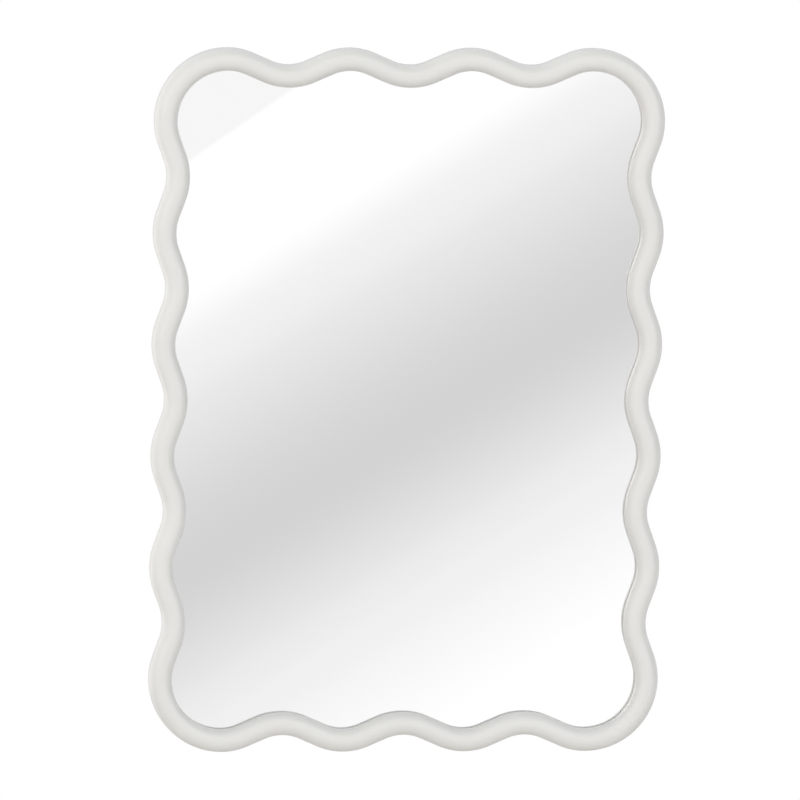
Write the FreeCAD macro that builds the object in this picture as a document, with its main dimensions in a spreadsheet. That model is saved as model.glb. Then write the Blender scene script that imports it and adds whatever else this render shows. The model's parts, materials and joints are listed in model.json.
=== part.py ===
import FreeCAD, Part
import math
import os
import re
import Sketcher
from FreeCAD import Placement, Rotation, Vector

# Wavy wall mirror: a lacquered wooden frame in four mitred members round a wavy-cut pane,
# held from behind by a board and turn buttons, hung by two strap hangers.
#
# Axes: +X to the viewer's right, +Z up, +Y into the wall, lengths in millimetres.
# The origin is the middle of the mirror on the wall. Four bumpers touch the wall at Y = 0,
# the back of the frame stands one bumper height in front of it, and the front faces -Y.

# Driving dimensions
SIZES = (
    ("overall_width", 610, "outside of the frame, left to right"),
    ("overall_height", 840, "outside of the frame, bottom to top"),
    ("moulding_width", 27, "frame member across its face, also the diameter of its round nose"),
    ("moulding_depth", 31, "frame member from its back to the front of its nose"),
    ("back_edge_radius", 4, "rounding of the frame's outer back edge"),
    ("corner_radius", 73.5, "corner lobe, on the middle line of the moulding"),
    ("top_wave_rise", 20, "valley to crest on the rails"),
    ("side_wave_rise", 15.5, "valley to crest on the stiles"),
    ("wave_bend_share", 0.9, "bend of a wave as a share of the largest that its step allows"),
    ("rebate_width", 8, "rebate from the inner edge of the moulding"),
    ("glass_thickness", 4, "silvered pane"),
    ("foam_thickness", 1.5, "sheet between the pane and the board"),
    ("board_thickness", 3, "backing board, flush with the back of the frame"),
    ("pane_clearance", 1, "edge of the pane and board to the wall of the rebate"),
    ("dowel_diameter", 6, "mitre dowel"),
    ("dowel_length", 30, "mitre dowel, half in each member"),
    ("dowel_clearance", 0.1, "glue room round a dowel"),
    ("dowel_end_gap", 1, "glue room past the end of a dowel"),
    ("outer_dowel_width_share", 0.15, "outer dowel from the middle line, of the moulding width"),
    ("outer_dowel_depth_share", 0.3, "outer dowel from the back, of the moulding depth"),
    ("inner_dowel_width_share", 0.11, "inner dowel from the middle line, of the moulding width"),
    ("inner_dowel_depth_share", 0.6, "inner dowel from the back, of the moulding depth"),
    ("bumper_height", 6, "stand-off of the frame from the wall"),
    ("bumper_base_diameter", 12, "bumper where it is stuck to the frame"),
    ("bumper_face_diameter", 10, "bumper where it meets the wall"),
    ("screw_shank_diameter", 3, "wood screw"),
    ("screw_head_diameter", 6, "pan head"),
    ("screw_head_top_diameter", 4, "flat on top of the pan head"),
    ("screw_head_height", 2, "pan head"),
    ("screw_length", 14, "wood screw under its head"),
    ("screw_tip_length", 3, "pointed end of the screw, within its length"),
    ("pilot_clearance", 0.1, "pilot hole round a screw"),
    ("pilot_end_gap", 1, "pilot hole past the point of a screw"),
    ("button_reach", 17, "turn button from its pivot to the middle of its round tip"),
    ("button_width", 11, "turn button"),
    ("button_thickness", 1.5, "turn button"),
    ("button_play", 0.2, "gap under and over a turn button on its screw"),
    ("pivot_clearance", 0.08, "turn button round its screw"),
    ("ring_wire_diameter", 2.5, "hanger ring"),
    ("ring_inner_width", 13, "opening of the hanger ring"),
    ("ring_bend_radius", 2.5, "corners of the ring, on the middle of the wire"),
    ("ring_leg_length", 3, "straight leg between a corner and the bow of the ring"),
    ("eye_clearance", 0.06, "strap's eye round the wire"),
    ("strap_thickness", 1.2, "hanger strap"),
    ("strap_width", 9, "hanger strap"),
    ("strap_length", 24, "from the axis of the eye to the free end"),
    ("upper_hole_drop", 8.5, "from the axis of the eye to the first screw"),
    ("lower_hole_drop", 19, "from the axis of the eye to the second screw"),
    ("hanger_rise", 5, "axis of the eye above the middle of the crest that carries it"),
    ("overrun", 1, "how far a cutting shape passes the face it cuts"),
)

# Counts, angles and a tolerance
TOP_HALF_WAVE_COUNT = 3     # on a rail from its middle to a corner
SIDE_HALF_WAVE_COUNT = 5    # on a stile from its middle to a corner
TOP_BUTTON_INDEX = 1        # rails carry turn buttons on the crests either side of the middle
SIDE_BUTTON_INDEX = 4       # stiles carry them at the middle and on the outermost valleys
HANGER_INDEX = 3            # hangers sit on this crest of the stiles
MITRE_ANGLE = 45            # degrees round a corner lobe from the stile's crest
BUMPER_ANGLE = 20           # degrees round a corner lobe from the stile's crest
RING_LEAN = 4               # degrees by which a raised ring leans back on the frame
CURL_END_ANGLE = 250        # degrees round the strap's eye at which its curl stops
HALF_TURN = 180
QUARTER_TURN = 90
VOLUME_TOLERANCE_SHARE = 0.01    # by which a drilled volume may differ from the wanted one

doc = FreeCAD.newDocument("WavyMirror")
sizes = doc.addObject("Spreadsheet::Sheet", "Sizes")
for row, (alias, size, note) in enumerate(SIZES, start=1):
    sizes.set("A%d" % row, note)
    sizes.set("B%d" % row, str(size))
    sizes.setAlias("B%d" % row, alias)
doc.recompute()

ALIAS = re.compile(r"\b(" + "|".join(alias for alias, size, note in SIZES) + r")\b")


def in_sheet(expression):
    """Write an expression in sizes so that it points at the sheet's cells."""
    return ALIAS.sub(r"Sizes.\1", expression)


def number(expression):
    """Work out an expression in sizes."""
    return float(sizes.evalExpression(in_sheet(expression)))


def minus(expression):
    """The negative of an expression in sizes."""
    return f"(-{expression})"


def bind(thing, **expressions):
    """Tie properties of an object to expressions in sizes."""
    for name, expression in expressions.items():
        thing.setExpression(name, in_sheet(expression))


def bind_place(thing, x, y, z, turn=Rotation()):
    """Turn an object, then tie its place to expressions in sizes."""
    thing.Placement = Placement(Vector(number(x), number(y), number(z)), turn)
    for axis, expression in (("x", x), ("y", y), ("z", z)):
        thing.setExpression(".Placement.Base." + axis, in_sheet(expression))


# Lengths that follow from the driving dimensions, on the middle line of the moulding
SIDE_CREST = "(overall_width / 2 - moulding_width / 2)"
TOP_CREST = "(overall_height / 2 - moulding_width / 2)"
SIDE_VALLEY = f"({SIDE_CREST} - side_wave_rise)"
TOP_VALLEY = f"({TOP_CREST} - top_wave_rise)"
CORNER_X = f"({SIDE_CREST} - corner_radius)"
CORNER_Z = f"({TOP_CREST} - corner_radius)"
TOP_STEP = f"({CORNER_X} / {TOP_HALF_WAVE_COUNT})"
SIDE_STEP = f"({CORNER_Z} / {SIDE_HALF_WAVE_COUNT})"
REBATE_DEPTH = "(glass_thickness + foam_thickness + board_thickness)"
PANE_INSET = "(moulding_width / 2 - rebate_width + pane_clearance)"
FRAME_BACK = "(-bumper_height)"
BAND_MIDDLE = "((rebate_width - back_edge_radius) / 2)"     # flat of the back, from the middle line


def extremes(half_waves, step, valley, crest):
    """Places along a member and levels of its valleys and crests, from its middle to a corner."""
    marks = []
    for count in range(half_waves + 1):
        is_crest = count % 2 == 1
        marks.append((f"({count} * {step})", crest if is_crest else valley, is_crest))
    return marks


TOP_EXTREMES = extremes(TOP_HALF_WAVE_COUNT, TOP_STEP, TOP_VALLEY, TOP_CREST)
SIDE_EXTREMES = extremes(SIDE_HALF_WAVE_COUNT, SIDE_STEP, SIDE_VALLEY, SIDE_CREST)


# Sketch helpers. Sketches number the points of an edge and their own axes.
START_INDEX = 1
END_INDEX = 2
CENTRE_INDEX = 3
AXIS_X_INDEX = -1
AXIS_Y_INDEX = -2
ORIGIN = (AXIS_X_INDEX, START_INDEX)


def sketch_on(body, plane, name, lift="0"):
    """A sketch on one of a body's own origin planes, lifted along the plane's normal."""
    roles = {feature.Role: feature for feature in body.Origin.OriginFeatures}
    sketch = body.newObject("Sketcher::SketchObject", name)
    sketch.AttachmentSupport = [(roles[plane], "")]
    sketch.MapMode = "FlatFace"
    sketch.setExpression(".AttachmentOffset.Base.z", in_sheet(lift))
    return sketch


def draw(sketch, geometry, start):
    """Add an arc or a line, and return it with its end at the start and its other end."""
    index = sketch.addGeometry(geometry)
    ends = (START_INDEX, END_INDEX)
    first, second = sorted(ends, key=lambda end: sketch.getPoint(index, end).distanceToPoint(start))
    return index, first, second


def measure(sketch, kind, *points_and_expression):
    """Add a dimension and tie it to an expression in sizes."""
    *points, expression = points_and_expression
    index = sketch.addConstraint(Sketcher.Constraint(kind, *points, number(expression)))
    sketch.setExpression("Constraints[%d]" % index, in_sheet(expression))


def hold(sketch, axis, index, end, expression):
    """Hold a point at a distance from the sketch's origin along one axis."""
    if number(expression) < 0:
        measure(sketch, "Distance" + axis, index, end, *ORIGIN, minus(expression))
    else:
        measure(sketch, "Distance" + axis, *ORIGIN, index, end, expression)


def join(sketch, kind, one, one_end, other, other_end):
    """Make two ends coincide, or meet in line with one another."""
    sketch.addConstraint(Sketcher.Constraint(kind, one, one_end, other, other_end))


def align(sketch, kind, *points):
    """Make a line, or two points, horizontal or vertical."""
    sketch.addConstraint(Sketcher.Constraint(kind, *points))


def put_on(sketch, index, end, axis):
    """Keep a point on one of the sketch's axes."""
    sketch.addConstraint(Sketcher.Constraint("PointOnObject", index, end, axis))


def circle(sketch, x, y, radius):
    """Draw a circle held by its centre and radius."""
    centre = Vector(number(x), number(y), 0)
    index = sketch.addGeometry(Part.Circle(centre, Vector(0, 0, 1), number(radius)))
    for axis, place in (("X", x), ("Y", y)):
        if number(place) == 0:
            put_on(sketch, index, CENTRE_INDEX, AXIS_Y_INDEX if axis == "X" else AXIS_X_INDEX)
        else:
            hold(sketch, axis, index, CENTRE_INDEX, place)
    measure(sketch, "Radius", index, radius)


# The wave
def bend_of(first, last):
    """Bend radius of the half wave between two extremes."""
    step = f"({last[0]} - {first[0]})"
    rise = f"abs({last[1]} - {first[1]})"
    return f"(wave_bend_share * ({step} ^ 2 + {rise} ^ 2) / (4 * {rise}))"


def draw_half_wave(sketch, upright, first, last, inset):
    """Draw bend, straight and bend between two extremes, and return the two open ends.

    Both bends meet their extreme level. The wave runs along X with its crests towards +Y,
    or, where it is upright, along Y with its crests towards +X.
    """
    def spot(along, out):
        return Vector(out, along, 0) if upright else Vector(along, out, 0)

    bend = bend_of(first, last)
    step = number(last[0]) - number(first[0])
    rise = abs(number(last[1]) - number(first[1]))
    straight = math.sqrt(step ** 2 + rise ** 2 - 4 * number(bend) * rise)
    slope = math.atan2(rise - 2 * number(bend), step) + math.atan2(2 * number(bend), straight)

    bends = []
    for (place, level, is_crest), way in ((first, 1), (last, -1)):
        radius = f"({bend} - {inset})" if is_crest else f"({bend} + {inset})"
        up = 1 if is_crest else -1
        size = number(radius)
        centre = number(level) - number(inset) - up * size
        points = []
        for angle in (0, slope / 2, slope):
            along = number(place) + way * size * math.sin(angle)
            points.append(spot(along, centre + up * size * math.cos(angle)))
        bends.append((radius, points))

    (first_radius, first_points), (last_radius, last_points) = bends
    one, level_one, leave = draw(sketch, Part.Arc(*first_points), first_points[0])
    line, start, end = draw(sketch, Part.LineSegment(first_points[2], last_points[2]), first_points[2])
    two, level_two, arrive = draw(sketch, Part.Arc(*last_points), last_points[0])
    join(sketch, "Tangent", one, leave, line, start)
    join(sketch, "Tangent", line, end, two, arrive)
    measure(sketch, "Radius", one, first_radius)
    measure(sketch, "Radius", two, last_radius)
    level = "Horizontal" if upright else "Vertical"
    align(sketch, level, one, CENTRE_INDEX, one, level_one)
    align(sketch, level, two, CENTRE_INDEX, two, level_two)
    along_axis, out_axis = ("Y", "X") if upright else ("X", "Y")
    hold(sketch, along_axis, two, level_two, last[0])
    hold(sketch, out_axis, two, level_two, f"({last[1]} - {inset})")
    return (one, level_one), (two, level_two)


def draw_wave(sketch, upright, marks, inset="0"):
    """Draw a member's wave from its middle to the corner, and return its two open ends."""
    start = None
    for first, last in zip(marks, marks[1:]):
        begin, finish = draw_half_wave(sketch, upright, first, last, inset)
        if start is None:
            start = begin
            middle_axis, out_axis = (AXIS_X_INDEX, "X") if upright else (AXIS_Y_INDEX, "Y")
            put_on(sketch, *begin, middle_axis)
            hold(sketch, out_axis, *begin, f"({first[1]} - {inset})")
        else:
            join(sketch, "Coincident", *before, *begin)
        before = finish
    return start, before


# Frame members
def draw_spine(sketch, upright):
    """Draw half of a member's middle line, from its middle to the mitre in the corner lobe."""
    start, crest = draw_wave(sketch, upright, SIDE_EXTREMES if upright else TOP_EXTREMES)
    radius = number("corner_radius")
    centre = Vector(number(CORNER_X), number(CORNER_Z), 0)
    crest_angle = 0 if upright else QUARTER_TURN
    points = []
    for angle in (crest_angle, (crest_angle + MITRE_ANGLE) / 2, MITRE_ANGLE):
        turn = math.radians(angle)
        points.append(centre + Vector(math.cos(turn), math.sin(turn), 0) * radius)
    lobe, begin, mitre = draw(sketch, Part.Arc(*points), points[0])
    join(sketch, "Coincident", *crest, lobe, begin)
    align(sketch, "Horizontal" if upright else "Vertical", lobe, CENTRE_INDEX, lobe, begin)
    measure(sketch, "Radius", lobe, "corner_radius")
    hold(sketch, "X", lobe, mitre, f"({CORNER_X} + corner_radius * cos({MITRE_ANGLE} deg))")


def draw_section(sketch, upright):
    """Draw the moulding's section where the spine starts: round nose in front, rebate behind."""
    half = "(moulding_width / 2)"
    valley = SIDE_VALLEY if upright else TOP_VALLEY
    nose_middle = "(moulding_depth - moulding_width / 2)"
    out_axis, depth_axis = ("X", "Y") if upright else ("Y", "X")
    out_way, depth_way = ("Horizontal", "Vertical") if upright else ("Vertical", "Horizontal")

    def spot(out, depth):
        across = number(f"({valley} + {out})")
        behind = number(f"({FRAME_BACK} - {depth})")
        return Vector(across, behind, 0) if upright else Vector(behind, across, 0)

    turn = math.sqrt(0.5)
    flat_end = spot(f"({half} - back_edge_radius)", "0")
    edge_middle = spot(f"({half} - back_edge_radius * (1 - {turn}))", f"(back_edge_radius * (1 - {turn}))")
    wall_back = spot(half, "back_edge_radius")
    wall_front = spot(half, nose_middle)
    nose_front = spot("0", "moulding_depth")
    inner_front = spot(f"(-{half})", nose_middle)
    inner_back = spot(f"(-{half})", REBATE_DEPTH)
    shelf_end = spot(f"(rebate_width - {half})", REBATE_DEPTH)
    rebate_foot = spot(f"(rebate_width - {half})", "0")

    back, back_a, back_b = draw(sketch, Part.LineSegment(rebate_foot, flat_end), rebate_foot)
    edge, edge_a, edge_b = draw(sketch, Part.Arc(flat_end, edge_middle, wall_back), flat_end)
    wall, wall_a, wall_b = draw(sketch, Part.LineSegment(wall_back, wall_front), wall_back)
    nose, nose_a, nose_b = draw(sketch, Part.Arc(wall_front, nose_front, inner_front), wall_front)
    lip, lip_a, lip_b = draw(sketch, Part.LineSegment(inner_front, inner_back), inner_front)
    shelf, shelf_a, shelf_b = draw(sketch, Part.LineSegment(inner_back, shelf_end), inner_back)
    step, step_a, step_b = draw(sketch, Part.LineSegment(shelf_end, rebate_foot), shelf_end)

    join(sketch, "Tangent", back, back_b, edge, edge_a)
    join(sketch, "Tangent", edge, edge_b, wall, wall_a)
    join(sketch, "Tangent", wall, wall_b, nose, nose_a)
    join(sketch, "Tangent", nose, nose_b, lip, lip_a)
    join(sketch, "Coincident", lip, lip_b, shelf, shelf_a)
    join(sketch, "Coincident", shelf, shelf_b, step, step_a)
    join(sketch, "Coincident", step, step_b, back, back_a)
    for line in (back, shelf):
        align(sketch, out_way, line)
    for line in (wall, lip, step):
        align(sketch, depth_way, line)
    measure(sketch, "Radius", edge, "back_edge_radius")
    measure(sketch, "Radius", nose, half)
    hold(sketch, out_axis, nose, CENTRE_INDEX, valley)
    hold(sketch, depth_axis, nose, CENTRE_INDEX, f"({FRAME_BACK} - {nose_middle})")
    hold(sketch, depth_axis, back, back_a, FRAME_BACK)
    hold(sketch, depth_axis, shelf, shelf_a, f"({FRAME_BACK} - {REBATE_DEPTH})")
    hold(sketch, out_axis, step, step_a, f"({valley} - {half} + rebate_width)")


# A dowel's distance from the middle line and from the back of the frame, towards the front
DOWELS = (
    ("(outer_dowel_width_share * moulding_width)", "(outer_dowel_depth_share * moulding_depth)"),
    ("(-inner_dowel_width_share * moulding_width)", "(inner_dowel_depth_share * moulding_depth)"),
)


def mitre_place(right, upper, out, depth, along):
    """A point on a dowel's axis at one of the four mitres, moved along towards its rail."""
    cos = f"cos({MITRE_ANGLE} deg)"
    sin = f"sin({MITRE_ANGLE} deg)"
    x = f"({CORNER_X} + (corner_radius + {out}) * {cos} - {along} * {sin})"
    z = f"({CORNER_Z} + (corner_radius + {out}) * {sin} + {along} * {cos})"
    return (x if right else minus(x), f"({FRAME_BACK} - {depth})", z if upper else minus(z))


def mitre_turn(right, upper, into_rail):
    """Turn an upright cylinder into line with the dowels of one of the four mitres."""
    angle = math.radians(MITRE_ANGLE)
    way = Vector(-math.sin(angle) if right else math.sin(angle), 0,
                 math.cos(angle) if upper else -math.cos(angle))
    return Rotation(Vector(0, 0, 1), way if into_rail else -way)


def drill_pilots(body, places):
    """Drill pilot holes for screws from the back of the frame towards its front."""
    sketch = sketch_on(body, "XZ_Plane", body.Label + "_pilot_places", "bumper_height")
    for x, z in places:
        circle(sketch, x, z, "(screw_shank_diameter / 2 + pilot_clearance)")
    before = body.Shape.Volume
    pocket = body.newObject("PartDesign::Pocket", body.Label + "_pilots")
    pocket.Profile = sketch
    pocket.Reversed = True
    bind(pocket, Length="screw_length + pilot_end_gap")
    doc.recompute()
    drilled = before - body.Shape.Volume
    wanted = len(places) * math.pi * number("(screw_shank_diameter / 2 + pilot_clearance) ^ 2")
    wanted *= number("screw_length + pilot_end_gap")
    if abs(drilled - wanted) > wanted * VOLUME_TOLERANCE_SHARE:
        raise RuntimeError("%s: pilots cut %.1f of %.1f mm3" % (body.Label, drilled, wanted))


def frame_member(label, upright, turned, pilots):
    """Sweep half a member to its mitre, mirror it, and drill it for screws and dowels."""
    body = doc.addObject("PartDesign::Body", label)
    spine = sketch_on(body, "XZ_Plane", label + "_spine", "bumper_height")
    draw_spine(spine, upright)
    section = sketch_on(body, "XY_Plane" if upright else "YZ_Plane", label + "_section")
    draw_section(section, upright)
    doc.recompute()

    sweep = body.newObject("PartDesign::AdditivePipe", label + "_sweep")
    sweep.Profile = section
    sweep.Spine = (spine, ["Edge%d" % count for count in range(1, len(spine.Shape.Edges) + 1)])
    doc.recompute()

    roles = {feature.Role: feature for feature in body.Origin.OriginFeatures}
    mirror = body.newObject("PartDesign::Mirrored", label + "_other_half")
    mirror.Originals = [sweep]
    mirror.MirrorPlane = (roles["XY_Plane" if upright else "YZ_Plane"], [""])
    body.Tip = mirror
    doc.recompute()
    drill_pilots(body, pilots)

    into_rail = not upright
    mitres = ((True, True), (True, False)) if upright else ((True, True), (False, True))
    for right, upper in mitres:
        for out, depth in DOWELS:
            bore = body.newObject("PartDesign::SubtractiveCylinder", label + "_dowel_bore")
            bind(bore, Radius="dowel_diameter / 2 + dowel_clearance",
                 Height="overrun + dowel_length / 2 + dowel_end_gap")
            along = "(-overrun)" if into_rail else "overrun"
            bind_place(bore, *mitre_place(right, upper, out, depth, along),
                       mitre_turn(right, upper, into_rail))
    body.Placement.Rotation = Rotation(Vector(0, 1, 0), HALF_TURN if turned else 0)
    return body


def group(label, members):
    """One node made of several separate solids."""
    compound = doc.addObject("Part::Compound", label)
    compound.Links = members
    return compound


# Places of the turn buttons and hangers on the top rail and the right stile
BUTTON_TOP_X = TOP_EXTREMES[TOP_BUTTON_INDEX][0]
BUTTON_TOP_Z = f"({TOP_EXTREMES[TOP_BUTTON_INDEX][1]} + {BAND_MIDDLE})"
BUTTON_SIDE_Z = SIDE_EXTREMES[SIDE_BUTTON_INDEX][0]
BUTTON_SIDE_X = f"({SIDE_EXTREMES[SIDE_BUTTON_INDEX][1]} + {BAND_MIDDLE})"
BUTTON_MIDDLE_X = f"({SIDE_VALLEY} + {BAND_MIDDLE})"
HANGER_X = f"({SIDE_EXTREMES[HANGER_INDEX][1]} + {BAND_MIDDLE})"
HANGER_Z = f"({SIDE_EXTREMES[HANGER_INDEX][0]} + hanger_rise)"
EYE_INNER = "(ring_wire_diameter / 2 + eye_clearance)"
EYE_OUTER = f"({EYE_INNER} + strap_thickness)"
HANGER_Y = f"({FRAME_BACK} + {EYE_OUTER})"


rail_pilots = [(BUTTON_TOP_X, BUTTON_TOP_Z), (minus(BUTTON_TOP_X), BUTTON_TOP_Z)]
stile_pilots = [(BUTTON_SIDE_X, BUTTON_SIDE_Z), (BUTTON_MIDDLE_X, "0"),
                (BUTTON_SIDE_X, minus(BUTTON_SIDE_Z))]
hanger_places = [f"({HANGER_Z} - upper_hole_drop)", f"({HANGER_Z} - lower_hole_drop)"]
right_pilots = stile_pilots + [(HANGER_X, z) for z in hanger_places]
left_pilots = stile_pilots + [(HANGER_X, minus(z)) for z in hanger_places]

nodes = [
    frame_member("frame_top_rail", False, False, rail_pilots),
    frame_member("frame_bottom_rail", False, True, rail_pilots),
    frame_member("frame_right_stile", True, False, right_pilots),
    frame_member("frame_left_stile", True, True, left_pilots),
]


# Mitre dowels, two across each of the four joints
def corner_dowels():
    dowels = []
    for right, upper in ((True, True), (False, True), (False, False), (True, False)):
        for out, depth in DOWELS:
            dowel = doc.addObject("Part::Cylinder", "mitre_dowel")
            bind(dowel, Radius="dowel_diameter / 2", Height="dowel_length")
            bind_place(dowel, *mitre_place(right, upper, out, depth, "(-dowel_length / 2)"),
                       mitre_turn(right, upper, True))
            dowels.append(dowel)
    return group("mitre_dowels", dowels)


nodes.append(corner_dowels())


# Pane, foam and board, cut to the wave of the rebate
def draw_quarter(sketch):
    """Draw the upper right quarter of a sheet that fits the rebate."""
    top_start, top_crest = draw_wave(sketch, False, TOP_EXTREMES, PANE_INSET)
    side_start, side_crest = draw_wave(sketch, True, SIDE_EXTREMES, PANE_INSET)
    radius = number(f"(corner_radius - {PANE_INSET})")
    centre = Vector(number(CORNER_X), number(CORNER_Z), 0)
    points = []
    for angle in (QUARTER_TURN, MITRE_ANGLE, 0):
        turn = math.radians(angle)
        points.append(centre + Vector(math.cos(turn), math.sin(turn), 0) * radius)
    lobe, top_end, side_end = draw(sketch, Part.Arc(*points), points[0])
    join(sketch, "Coincident", *top_crest, lobe, top_end)
    join(sketch, "Coincident", *side_crest, lobe, side_end)
    align(sketch, "Vertical", lobe, CENTRE_INDEX, lobe, top_end)
    for start in (top_start, side_start):
        point = sketch.getPoint(*start)
        spoke, middle, rim = draw(sketch, Part.LineSegment(Vector(), point), Vector())
        join(sketch, "Coincident", spoke, middle, *ORIGIN)
        join(sketch, "Coincident", spoke, rim, *start)


def wavy_sheet(label, thickness, lift):
    """Pad a quarter of the sheet towards the front and mirror it twice."""
    body = doc.addObject("PartDesign::Body", label)
    sketch = sketch_on(body, "XZ_Plane", label + "_quarter", lift)
    draw_quarter(sketch)
    pad = body.newObject("PartDesign::Pad", label + "_pad")
    pad.Profile = sketch
    bind(pad, Length=thickness)
    doc.recompute()
    roles = {feature.Role: feature for feature in body.Origin.OriginFeatures}
    mirrors = []
    for plane in ("YZ_Plane", "XY_Plane"):
        mirror = body.newObject("PartDesign::Mirrored", label + "_about_" + plane)
        mirror.MirrorPlane = (roles[plane], [""])
        mirrors.append(mirror)
    both = body.newObject("PartDesign::MultiTransform", label + "_whole")
    both.Originals = [pad]
    both.Transformations = mirrors
    body.Tip = both
    return body


nodes.append(wavy_sheet("backing_board", "board_thickness", "bumper_height"))
nodes.append(wavy_sheet("foam_sheet", "foam_thickness", "bumper_height + board_thickness"))
nodes.append(wavy_sheet("mirror_glass", "glass_thickness",
                        "bumper_height + board_thickness + foam_thickness"))


# Screws, pointing from the back of the frame towards its front
def wood_screw(name, x, seat, z):
    """A pan-head screw whose head rests at the given depth."""
    towards_front = Rotation(Vector(1, 0, 0), QUARTER_TURN)
    towards_wall = Rotation(Vector(1, 0, 0), -QUARTER_TURN)
    head = doc.addObject("Part::Cone", name + "_head")
    bind(head, Radius1="screw_head_diameter / 2", Radius2="screw_head_top_diameter / 2",
         Height="screw_head_height")
    bind_place(head, x, seat, z, towards_wall)
    shank = doc.addObject("Part::Cylinder", name + "_shank")
    bind(shank, Radius="screw_shank_diameter / 2", Height="screw_length - screw_tip_length")
    bind_place(shank, x, seat, z, towards_front)
    point = doc.addObject("Part::Cone", name + "_point")
    bind(point, Radius1="screw_shank_diameter / 2", Height="screw_tip_length")
    point.Radius2 = 0
    bind_place(point, x, f"({seat} - screw_length + screw_tip_length)", z, towards_front)
    screw = doc.addObject("Part::MultiFuse", name)
    screw.Shapes = [head, shank, point]
    return screw


# Turn buttons: name, place on the back of the frame, and turn that points the blade inwards
BUTTONS = (
    ("top_right", BUTTON_TOP_X, BUTTON_TOP_Z, 0),
    ("top_left", minus(BUTTON_TOP_X), BUTTON_TOP_Z, 0),
    ("bottom_right", BUTTON_TOP_X, minus(BUTTON_TOP_Z), HALF_TURN),
    ("bottom_left", minus(BUTTON_TOP_X), minus(BUTTON_TOP_Z), HALF_TURN),
    ("right_upper", BUTTON_SIDE_X, BUTTON_SIDE_Z, QUARTER_TURN),
    ("right_middle", BUTTON_MIDDLE_X, "0", QUARTER_TURN),
    ("right_lower", BUTTON_SIDE_X, minus(BUTTON_SIDE_Z), QUARTER_TURN),
    ("left_upper", minus(BUTTON_SIDE_X), BUTTON_SIDE_Z, -QUARTER_TURN),
    ("left_middle", minus(BUTTON_MIDDLE_X), "0", -QUARTER_TURN),
    ("left_lower", minus(BUTTON_SIDE_X), minus(BUTTON_SIDE_Z), -QUARTER_TURN),
)


def turn_button(label, x, z, turn):
    """A flat blade with round ends that swivels on its screw."""
    body = doc.addObject("PartDesign::Body", label)
    sketch = sketch_on(body, "XZ_Plane", label + "_outline")
    half = number("button_width / 2")
    reach = number("button_reach")
    top = Part.Arc(Vector(half, 0, 0), Vector(0, half, 0), Vector(-half, 0, 0))
    tip = Part.Arc(Vector(-half, -reach, 0), Vector(0, -reach - half, 0), Vector(half, -reach, 0))
    top, top_right, top_left = draw(sketch, top, Vector(half, 0, 0))
    left, left_top, left_tip = draw(
        sketch, Part.LineSegment(Vector(-half, 0, 0), Vector(-half, -reach, 0)), Vector(-half, 0, 0))
    tip, tip_left, tip_right = draw(sketch, tip, Vector(-half, -reach, 0))
    right, right_tip, right_top = draw(
        sketch, Part.LineSegment(Vector(half, -reach, 0), Vector(half, 0, 0)), Vector(half, -reach, 0))
    join(sketch, "Tangent", top, top_left, left, left_top)
    join(sketch, "Tangent", left, left_tip, tip, tip_left)
    join(sketch, "Tangent", tip, tip_right, right, right_tip)
    join(sketch, "Tangent", right, right_top, top, top_right)
    for side in (left, right):
        align(sketch, "Vertical", side)
    join(sketch, "Coincident", top, CENTRE_INDEX, *ORIGIN)
    measure(sketch, "Radius", top, "(button_width / 2)")
    hold(sketch, "Y", tip, CENTRE_INDEX, minus("button_reach"))
    circle(sketch, "0", "0", "(screw_shank_diameter / 2 + pivot_clearance)")
    pad = body.newObject("PartDesign::Pad", label + "_pad")
    pad.Profile = sketch
    pad.Reversed = True
    bind(pad, Length="button_thickness")
    bind_place(body, x, f"({FRAME_BACK} + button_play)", z, Rotation(Vector(0, 1, 0), turn))
    return body


button_seat = f"({FRAME_BACK} + button_thickness + 2 * button_play)"
button_screws = []
for place, x, z, turn in BUTTONS:
    nodes.append(turn_button("turn_button_" + place, x, z, turn))
    button_screws.append(wood_screw("button_screw_" + place, x, button_seat, z))
nodes.append(group("turn_button_screws", button_screws))


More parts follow.
